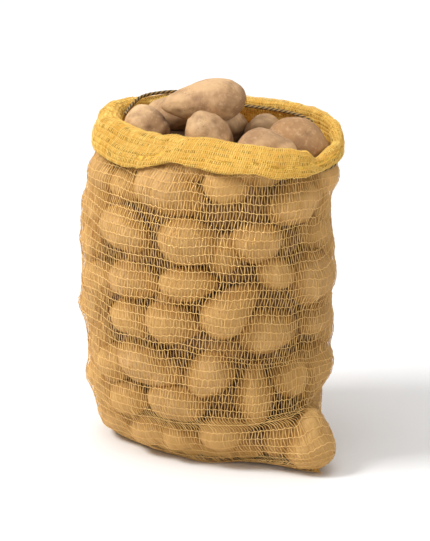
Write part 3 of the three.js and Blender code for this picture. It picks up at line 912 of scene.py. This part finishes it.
def tubes(paths, normals, widths, depths, sides=4):
    """Flat tubes along paths: points, faces, and each point's path."""
    count, steps, _ = paths.shape
    ahead = unit(np.gradient(paths, axis=1))
    side = unit(np.cross(ahead, normals))
    out = np.cross(side, ahead)
    turn = 2 * math.pi * np.arange(sides) / sides
    ring = paths[:, :, None] + (side * widths[..., None] / 2)[:, :, None] * np.cos(turn)[:, None]
    ring = ring + (out * depths[..., None] / 2)[:, :, None] * np.sin(turn)[:, None]
    index = np.arange(count * steps * sides).reshape(count, steps, sides)
    here, there = index[:, :-1], index[:, 1:]
    walls = np.stack([here, there, np.roll(there, -1, axis=2), np.roll(here, -1, axis=2)], axis=-1)
    ends = np.concatenate([index[:, 0], index[:, -1, ::-1]])
    caps = [ends[:, [0, i, i + 1, i + 2]] for i in range(1, sides - 1, 2)]
    faces = np.concatenate([walls.reshape(-1, 4), *caps])
    return ring.reshape(-1, 3), faces, np.repeat(np.arange(count), steps * sides)


print("thread tools ready")

# %% [markdown]
# A chain dips a little between two tapes, and the tapes lean by turns to the left and to the right, which makes the
# narrow rounded cells of this net. Widths, leans and twists vary from thread to thread, as in real film.

# %% Write the knitting
# In millimetres: widths of a chain and a tape, a chain's waves and how far threads stray. Then how far tapes lean,
# how much of its tone a tape keeps from row to row, and the darkest chain's tone.
WALL_KNIT, BASE_KNIT, CUFF_KNIT = table("chain tape wave stray lean stroke pale", [
    (0.95, 1.25, 0.8, 0.35, 0.34, 0.0, 0.75), (0.95, 1.25, 0.8, 0.10, 0.34, 0.0, 0.75),
    (0.80, 1.80, 0.3, 0.40, 0.12, 0.7, 0.40),
])
CHAIN_LIFT, CHAIN_STRAY, CHAIN_FLAT, LOWEST_CHAIN = 0.3, 0.4, 0.8, 1.0 * MM
TAPE_WAIST, TAPE_FLAT, TAPE_TWIST = np.array([[0.72, 1.1, 0.72]]), 0.34, 0.3
ONE_WAY = 0.41


def chain_stitches(cloth, normals, first, last, draw, size):
    """Chains, with two steps for each tape, in waves over every two tapes."""
    rows = np.arange(0, len(cloth), 2)
    place = np.arange(2 * first, 2 * last + 1)
    index = np.ix_(rows, place % cloth.shape[1])
    wave = np.cos(math.pi * (place / 2 + rows[:, None] / 2))[..., None]
    upward = unit(np.gradient(cloth, axis=0))
    paths = cloth[index] + upward[index] * MM * size["wave"] * wave + normals[index] * MM * CHAIN_LIFT
    paths = paths + MM * size["stray"] * CHAIN_STRAY * draw.normal(size=paths.shape)
    paths[..., 2] = np.maximum(paths[..., 2], LOWEST_CHAIN)
    width = MM * size["chain"] * (1 + 0.15 * wave[..., 0]) * draw.uniform(0.85, 1.15, paths.shape[:2])
    return tubes(paths, normals[index], width, CHAIN_FLAT * width)


def joining_tapes(cloth, normals, first, last, draw, size):
    """Tapes from each chain to the next one up, and their numbers round the sack."""
    row, number = np.indices((len(cloth) // 2, last - first)).reshape(2, -1)
    number = number + first
    by_turns = np.where((row + number) % 2 == 0, 1, -1)
    slant = ONE_WAY * size["lean"] + size["lean"] * by_turns + draw.normal(0, 0.12, row.size)
    places = 2 * number[:, None] + np.stack([-slant, draw.normal(0, 0.15, row.size), slant], axis=1)
    levels = 2 * row[:, None] + np.arange(3)
    paths, outward = read(cloth, levels, places), unit(read(normals, levels, places))
    paths[:, 1] += outward[:, 1] * MM * size["stray"] * draw.normal(0, 1, (row.size, 1))
    paths[..., 2] = np.maximum(paths[..., 2], LOWEST_TAPE)
    ahead = unit(paths[:, 2] - paths[:, 0])[:, None]
    twist = draw.normal(0, TAPE_TWIST, (row.size, 1, 1))
    outward = outward * np.cos(twist) + np.cross(ahead, outward) * np.sin(twist)
    width = MM * size["tape"] * draw.uniform(0.75, 1.2, (row.size, 1)) * TAPE_WAIST
    return tubes(paths, outward, width, TAPE_FLAT * width), number


def knit(cloth, first, last, seed, size):
    """A layer from one tape to another: its points, faces and tones."""
    draw = np.random.default_rng(seed)
    normals = facing(cloth)
    chains = chain_stitches(cloth, normals, first, last, draw, size)
    tapes, number = joining_tapes(cloth, normals, first, last, draw, size)
    chain_tone = draw.uniform(size["pale"], size["pale"] + 0.25, len(cloth) // 2 + 1)
    own, kept = draw.uniform(0, 0.8, number.size), draw.uniform(0, 1, last)[number]
    tape_tone = (1 - size["stroke"]) * own + size["stroke"] * kept
    return joined([(*chains[:2], chain_tone[chains[2]]), (*tapes[:2], tape_tone[tapes[2]])])


print("knitting ready")

# %% [markdown]
# ## Yellow tape
#
# The threads are slit yellow plastic film, a little shiny. Chains look paler than single tapes because they are
# several turns thick, so every thread carries a tone, and slow clouds vary it over the sack.

# %% Knit the wall
yellow, yellow_shader, start, spot = finish_of("yellow_tape", Specular_IOR_Level=0.4)
colour = attribute(start, "tone").blend((0.60, 0.335, 0.08), (0.88, 0.565, 0.20))
colour = (spot.noise(35, 3).over(0.35, 0.7) * 0.3).blend(colour, (0.57, 0.31, 0.072))
feed(yellow_shader, Base_Color=colour, Roughness=0.42 + spot.noise(900, 1) * 0.2)


def net_piece(name, made, finish=yellow, smooth=False):
    """A piece of net that stands for the sack's solid. Tapes of film have flat faces."""
    points, faces, tones = made
    piece = new_piece(name, points, faces, finish, smooth, tone=tones)
    stand_in("sack")
    print(name, "has", 2 * len(faces), "triangles")
    return piece


def halves(name, cloth, seed, size, *look):
    """The front and the back of a layer as two pieces."""
    quarter = cloth.shape[1] // 8
    front = net_piece(name + "_front", knit(cloth, quarter, 3 * quarter, seed, size), *look)
    return front, net_piece(name + "_back", knit(cloth, 3 * quarter, 5 * quarter, seed + 1, size), *look)


net_front, net_back = halves("net", wall_cloth, 21, WALL_KNIT)

# %% [markdown]
# ## The rolled mouth
#
# The mouth is turned outwards and down, over and over, until it is a thick cuff. Its outline follows the solid: a
# lining inside the wall, a round crest, a hanging face that bellies out, and a lower edge that turns back under.
# Hardly any gap goes through so many layers, so it is a closed inner cloth with one close layer of threads on it.

# %% Shape the cuff
CUFF_TURN, CUFF_ROOM, CUFF_BELLY, CUFF_BACK = 2.5 * MM, 5 * MM, 3 * MM, 14 * MM
LINING_LEAST, LINING_MOST, LINING_IN = 6 * MM, 36 * MM, 1.6 * MM
# How much the crest, the drop and the thickness wander.
CREST_WANDER, DROP_WANDER, FAT_WANDER = 1.0 * MM, 1.1 * MM, 0.07
# Where the hanging face slopes outwards: azimuth, spread in degrees, flare, ease.
SLOPE_AT, SLOPE_SPREAD, SLOPE_FLARE, SLOPE_EASE = 55, 34, 6 * MM, 0.8


def cuff_outline():
    """Rows of points from the turned lower edge over the crest to the lining."""
    turn = net_azimuth
    crest = around(CUFF, turn, "crest") + CREST_WANDER * ripple(turn, 0, 6, 14, 0, 31)
    drop = around(CUFF, turn, "drop") + DROP_WANDER * ripple(turn, 0, 6, 12, 0, 32)
    fat = around(CUFF, turn, "fat") * (1 + FAT_WANDER * ripple(turn, 0, 5, 12, 0, 33))
    roll = fat / 2
    bend, hem = crest - roll, crest - drop + CUFF_TURN
    wall = wall_reach(bend)
    slope = np.exp(-((degrees_from(SLOPE_AT, turn) / SLOPE_SPREAD) ** 2))
    hang = np.maximum(wall + fat, wall_reach(hem) + CUFF_ROOM + 2 * CUFF_TURN) + SLOPE_FLARE * slope
    line = []

    def outside(height, reach):
        """A place on the outer face, drawn towards a straight slope."""
        fallen = np.clip((crest - height) / (crest - hem), 0, 1) ** SLOPE_EASE
        straight = wall + roll + (hang - wall - roll) * fallen
        line.append((height, reach + (straight - reach) * slope))

    lining = np.clip(bend - hem - LINING_LEAST, LINING_LEAST, LINING_MOST)
    for share in np.linspace(0, 1, 8)[:-1]:
        height = bend - lining * (1 - share)
        line.append((height, wall_reach(height) - LINING_IN * (1 - share)))
    for angle in np.linspace(0, math.pi / 2, 7):
        line.append((bend + roll * math.sin(angle), wall + roll - roll * math.cos(angle)))
    for angle in np.linspace(math.pi / 2, math.pi, 7)[1:]:
        outside(bend + roll * math.sin(angle), wall + roll - roll * math.cos(angle))
    for share in np.linspace(0, 1, 9)[1:]:
        belly = CUFF_BELLY * math.sin(math.pi * share)
        outside(bend + (hem - bend) * share, wall + fat + (hang - wall - fat) * share + belly)
    for angle in np.linspace(0, math.pi, 5)[1:]:
        line.append((hem - CUFF_TURN * math.sin(angle), hang - CUFF_TURN + CUFF_TURN * math.cos(angle)))
    line.append((hem + CUFF_BACK, hang - 2 * CUFF_TURN))
    return np.stack([on_form(height, turn, reach) for height, reach in reversed(line)])


cuff_edge = cuff_outline()
print("cuff goes", round(1000 * float(lengths(cuff_edge)[-1].mean())), "mm over")

# %% [markdown]
# The inner cloth shows through the slits between its threads. It is a deep yellow, with painted shade in rows of
# dark patches, where every layer has a gap and the dark inside shows. The threads stand upright and lie closer than
# those of the wall, because layers of net cover each other, and they are a richer yellow than single tapes that let
# light through.

# %% Finish the cuff's cloth and threads
SLIT_ROWS = 10

cuff_cloth, cuff_shader, start, spot = finish_of("cuff_cloth", Specular_IOR_Level=0.3)
waves = attribute(start, "level") * (2 * math.pi * SLIT_ROWS)
# Painted shade: rows of dark patches, the dark inside seen where every layer has a gap.
gaps = waves.math("SINE", waves).over(-0.6, 0.5) * spot.noise(120, 2).over(0.40, 0.58)
colour = spot.noise(60, 3).blend((0.74, 0.41, 0.05), (0.88, 0.53, 0.09))
colour = (gaps * 0.9).blend(colour, (0.44, 0.215, 0.022))
feed(cuff_shader, Base_Color=colour, Roughness=0.6 + gaps * 0.2)

golden, golden_shader, start, spot = finish_of("cuff_tape", Specular_IOR_Level=0.35)
colour = attribute(start, "tone").blend((0.90, 0.51, 0.075), (1.0, 0.77, 0.23))
colour = (spot.noise(30, 3).over(0.4, 0.75) * 0.3).blend(colour, (0.88, 0.50, 0.07))
feed(golden_shader, Base_Color=colour, Roughness=0.45 + spot.noise(900, 1) * 0.2)
print("cuff has two finishes")

# %% [markdown]
# Both layers are read from the same outline. Wide puckers go through both, and each has fine ones of its own.

# %% Make the cuff
CUFF_ROWS, CUFF_TAPES = 16, 320
SHEET_ROWS, SHEET_STEPS, SHEET_THICK = 57, 288, 0.7 * MM
# How far cloth and threads lie off the outline in millimetres, and where the threads start and end on it.
SHEET_LIFT, THREAD_LIFT = -0.9, 0.2
THREADS_FROM, THREADS_TO = 0.08, 0.93
PUCKER_RUN, WIDE_PUCKER, FINE_PUCKER = 20, 0.9, 0.35


def along_rows(rows, shares):
    """A table of rows read at shares of its length from the first row to the last."""
    along = lengths(rows)
    columns = range(rows.shape[1])
    return np.stack([read_line(shares, along[:, i] / along[-1, i], rows[:, i]) for i in columns], axis=1)


def cuff_layer(shares, steps, lift, seed):
    """One layer of the cuff, lifted off its outline and puckered."""
    cloth = evenly(along_rows(cuff_edge, shares), steps)
    turn = 2 * math.pi * np.arange(steps) / steps
    level = PUCKER_RUN * np.asarray(shares)[:, None]
    pucker = WIDE_PUCKER * ripple(turn, level, 9, 34, 0.9, 35) + FINE_PUCKER * ripple(turn, level, 9, 80, 2.0, seed)
    return cloth + facing(cloth) * MM * (lift + pucker)[..., None]


levels = np.linspace(0, 1, SHEET_ROWS)
sheet = cuff_layer(levels, SHEET_STEPS, SHEET_LIFT, 41)
index = np.arange(SHEET_ROWS * SHEET_STEPS).reshape(SHEET_ROWS, SHEET_STEPS)
low, high = index[:-1], index[1:]
quads = np.stack([low, np.roll(low, -1, axis=1), np.roll(high, -1, axis=1), high], axis=-1).reshape(-1, 4)
cuff = new_piece("cuff_cloth", sheet.reshape(-1, 3), quads, cuff_cloth, level=np.repeat(levels, SHEET_STEPS))
solid = cuff.modifiers.new("thickness", "SOLIDIFY")
solid.thickness, solid.offset = SHEET_THICK, -1
bpy.context.view_layer.objects.active = cuff
bpy.ops.object.modifier_apply(modifier=solid.name)
stand_in("sack")

fine = cuff_layer(np.linspace(THREADS_FROM, THREADS_TO, 2 * CUFF_ROWS + 1), 2 * CUFF_TAPES, THREAD_LIFT, 42)
cuff_front, cuff_back = halves("cuff_net", fine, 51, CUFF_KNIT, golden, True)

# %% [markdown]
# ## The base
#
# Under the sack the rows run on over the floor to a seam along its width, where the tube is sewn shut. Nobody
# sees it while the sack stands, but the part may be turned over.

# %% Knit the base
BASE_ROWS, BASE_FROM = 6, 0.05
SEAM = MM * np.array([(-112, 0), (-40, 2), (60, -8), (130, -34), (186, -60)])
SEAM_SHARE = 0.93

edge = foot[0]
seam_x = np.clip(SEAM_SHARE * edge[:, 0], SEAM[0, 0], SEAM[-1, 0])
seam = np.stack([seam_x, np.interp(seam_x, SEAM[:, 0], SEAM[:, 1]), np.full(len(edge), LOWEST_TAPE)], axis=1)
under = along_rows(np.concatenate([seam[None], foot]), np.linspace(BASE_FROM, 1, 2 * BASE_ROWS + 1))
base_net = net_piece("base_net", knit(under, 0, TAPES, 61, BASE_KNIT))

# %% [markdown]
# ## The sewn tip
#
# At the filled corner the end of the seam sticks out over the floor: a short gathered cone with a thread tail.
# Every other side edge of a cone is drawn in to make the gathers, and the small end is extruded twice for the tail.

# %% Model the tip
TIP_FROM, TIP_TO = MM * Vector((179, -53, 9.5)), MM * Vector((192, -60, 3.2))
TIP_SIDES, TIP_WIDE, TIP_SLIM, TIP_GATHER = 20, 7.5 * MM, 2.2 * MM, 0.74
# Each step of the tail: how far it goes, and how slim it gets.
TIP_TAIL = [((0.6 * MM, 0, 3 * MM), 0.4), ((1.0 * MM, 0.4 * MM, 4 * MM), 0.6)]

bpy.ops.object.select_all(action="DESELECT")
length = (TIP_TO - TIP_FROM).length
bpy.ops.mesh.primitive_cone_add(vertices=TIP_SIDES, radius1=TIP_WIDE, radius2=TIP_SLIM, depth=length)
tip = bpy.context.object
tip.name = "corner_tip"
bpy.ops.object.mode_set(mode="EDIT")
bpy.ops.mesh.select_mode(type="VERT")
step = 2 * math.pi / TIP_SIDES
choose(tip, "verts", lambda point: round(math.atan2(point.co.y, point.co.x) / step) % 2 == 0)
bpy.ops.transform.resize(value=(TIP_GATHER, TIP_GATHER, 1))
bpy.ops.mesh.select_mode(type="FACE")
choose(tip, "faces", lambda face: len(face.verts) == TIP_SIDES and face.calc_center_median().z > 0)
for shift, size in TIP_TAIL:
    bpy.ops.mesh.extrude_region_move(TRANSFORM_OT_translate={"value": shift})
    bpy.ops.transform.resize(value=(size, size, 1))
bpy.ops.object.mode_set(mode="OBJECT")
tip.rotation_euler = (TIP_TO - TIP_FROM).to_track_quat("Z", "Y").to_euler()
tip.location = (TIP_FROM + TIP_TO) / 2
bpy.ops.object.transform_apply(location=True, rotation=True, scale=True)
tip.data.shade_smooth()
tip.data.materials.append(golden)
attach(tip, "root")
stand_in("sack")
print("tip is", round(1000 * length), "mm long")

# %% [markdown]
# ## Drawstring
#
# A dark twisted cord runs through the net near the rim: outside the wall at the right, inside along the back, and
# over the rim for a short way at the left. Its middle line follows the wall.

# %% Lead the drawstring
# Azimuth, height, and how far the cord lies outside the net.
DRAWSTRING = np.array([
    (78, 404, 3.6), (84, 407, 3.6), (90, 411, 3.6), (96, 415, 3.6), (102, 420, 3.6), (108, 426, 3.6),
    (114, 432, 3.6), (120, 438, 2.6), (125, 443, 0.4), (130, 447, -2.6), (137, 450, -3.8), (148, 450, -3.8),
    (160, 450, -3.8), (172, 450, -3.8), (184, 450, -3.8), (198, 452, -3.8), (212, 456, -3.8), (222, 459, -2.6),
    (230, 464, 2), (238, 464.5, 8), (246, 463.5, 10), (252, 463, 8), (258, 461.5, 3), (264, 457.5, -2),
    (270, 453, -3.8), (278, 448, -3.8),
])
STRING_STEPS, STRING_STEP = 600, 1.5 * MM


def smoothed(values, width=25):
    """Values along a line, each the mean of its neighbours."""
    return np.convolve(np.pad(values, width // 2, mode="edge"), np.ones(width) / width, "valid")


def string_line():
    """The cord's middle line at even steps, and the length at each step."""
    share, knots = np.linspace(0, 1, STRING_STEPS), np.linspace(0, 1, len(DRAWSTRING))
    azimuth, height, out = [smoothed(np.interp(share, knots, values)) for values in DRAWSTRING.T]
    azimuth, height, out = np.radians(azimuth), MM * height, MM * out
    column = np.degrees(azimuth) / 360 * NET_COLUMNS
    low = column.astype(int)
    near, far = net_reach(height, low), net_reach(height, low + 1)
    line = on_form(height, azimuth, smoothed(near + (far - near) * (column - low)) + out)
    along = lengths(line)
    even = np.arange(0, along[-1], STRING_STEP)
    return read_line(even, along, line), even


line, even = string_line()
print("drawstring is", round(float(even[-1]), 3), "m long")

# %% [markdown]
# Four round strands, dark and tan by turns, wind round the middle line. A pattern on one tube would be simpler,
# but the twist also shows at the cord's outline.

# %% Twist the drawstring
STRANDS, STRAND, STRAND_THICK, STRAND_SIDES, LAY = 4, 1.2 * MM, 2.2, 6, 15 * MM

ahead = unit(np.gradient(line, axis=0))
across = unit(np.cross(ahead, (0, 0, 1.0)))
rise = np.cross(across, ahead)
turn = 2 * math.pi * (even / LAY + np.arange(STRANDS)[:, None] / STRANDS)
spoke = across * np.cos(turn)[..., None] + rise * np.sin(turn)[..., None]
thick = np.full(turn.shape, STRAND_THICK * STRAND)
points, faces, strand = tubes(line + STRAND * spoke, spoke, thick, thick, STRAND_SIDES)
cord, cord_shader, start, spot = finish_of("dark_cord", Specular_IOR_Level=0.3)
fray = spot.noise(420, 3)
colour = attribute(start, "tone").blend((0.04, 0.027, 0.016), (0.46, 0.29, 0.10))
colour = (fray.over(0.45, 0.75) * 0.3).blend(colour, (0.13, 0.085, 0.04))
feed(cord_shader, Base_Color=colour, Roughness=0.6 + fray * 0.25, Normal=fray.bump(0.6, 0.0006))
string = new_piece("drawstring_cord", points, faces, cord, tone=(strand % 2).astype(float))
stand_in("drawstring")
print(STRANDS, "strands twisted")
